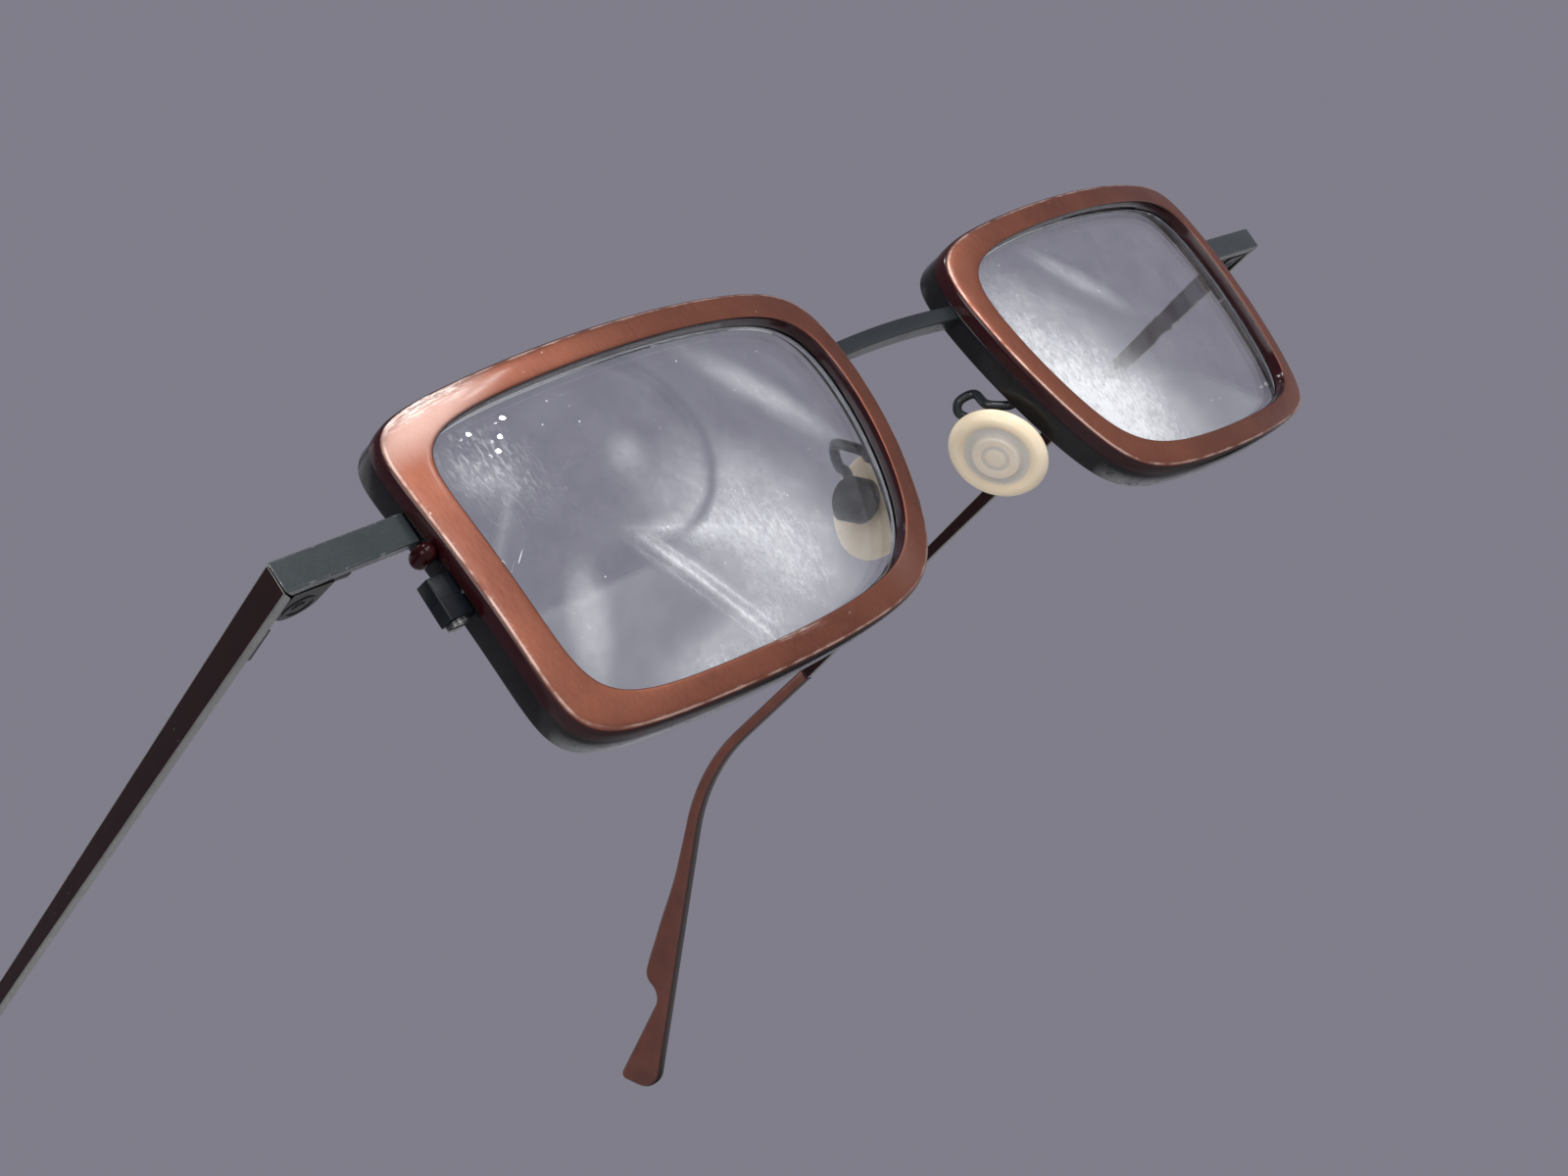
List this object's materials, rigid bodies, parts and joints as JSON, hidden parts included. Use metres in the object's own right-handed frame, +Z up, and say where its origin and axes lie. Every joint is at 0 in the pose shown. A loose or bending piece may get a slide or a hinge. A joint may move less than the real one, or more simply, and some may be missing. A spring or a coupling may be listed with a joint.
{
  "type": "eyeglasses",
  "caption": "Angular full-rim eyeglasses with brown front rings on black metal rims, a flat bridge, hinged flat temples and hooked plastic tips.",
  "frame": {"origin": "centre of the outer box at the lowest point, where the open pair stands on its rims and tips", "axes": "+Z up as it stands, +Y from the front back along the temples, +X towards the left side of the wearer"},
  "size_m": [0.134, 0.152, 0.0288],
  "materials": {
    "bar_metal": "satin",
    "ring": "gloss",
    "lug": "gloss",
    "rim_metal": "satin",
    "lens": "clear",
    "box_metal": "satin",
    "screw": "satin",
    "pad_core": "satin",
    "pad": "satin",
    "block_metal": "satin",
    "hinge_metal": "satin",
    "temple_metal": "satin",
    "tip": "satin"
  },
  "bodies": {
    "front": {"bridge": "bar_metal", "left_front_ring": "ring", "right_front_ring": "ring", "left_ring_lug": "lug", "right_ring_lug": "lug", "left_rim": "rim_metal", "right_rim": "rim_metal", "left_lens": "lens", "right_lens": "lens", "left_pad_arm": "bar_metal", "right_pad_arm": "bar_metal", "left_pad_box": "box_metal", "right_pad_box": "box_metal", "left_pad_screw": "screw", "right_pad_screw": "screw", "left_block_upper": "block_metal", "right_block_upper": "block_metal", "left_block_lower": "block_metal", "right_block_lower": "block_metal", "left_rim_screw": "screw", "right_rim_screw": "screw", "left_end_piece": "bar_metal", "right_end_piece": "bar_metal", "left_hinge_front": "hinge_metal", "right_hinge_front": "hinge_metal", "left_hinge_screw": "screw", "right_hinge_screw": "screw"},
    "left_arm": {"left_hinge_temple": "hinge_metal", "left_temple": "temple_metal", "left_temple_tip": "tip"},
    "left_pad": {"left_pad_core": "pad_core", "left_nose_pad": "pad"},
    "right_arm": {"right_hinge_temple": "hinge_metal", "right_temple": "temple_metal", "right_temple_tip": "tip"},
    "right_pad": {"right_pad_core": "pad_core", "right_nose_pad": "pad"}
  },
  "joints": [
    {"name": "left_temple_fold", "type": "hinge", "parent": "front", "child": "left_arm", "pos_m": [0.0639, -0.06653, 0.02108], "axis": [0, -0.1377, 0.9905], "range_deg": [0, 85]},
    {"name": "right_temple_fold", "type": "hinge", "parent": "front", "child": "right_arm", "pos_m": [-0.0639, -0.06653, 0.02108], "axis": [0, 0.1377, -0.9905], "range_deg": [0, 82.5]},
    {"name": "left_pad_rock", "type": "hinge", "parent": "front", "child": "left_pad", "pos_m": [0.0116, -0.06611, 0.01184], "axis": [-0.0558, -0.9889, -0.1375], "range_deg": [-8, 8]},
    {"name": "right_pad_rock", "type": "hinge", "parent": "front", "child": "right_pad", "pos_m": [-0.0116, -0.06611, 0.01184], "axis": [-0.0558, 0.9889, 0.1375], "range_deg": [-8, 8]}
  ]
}
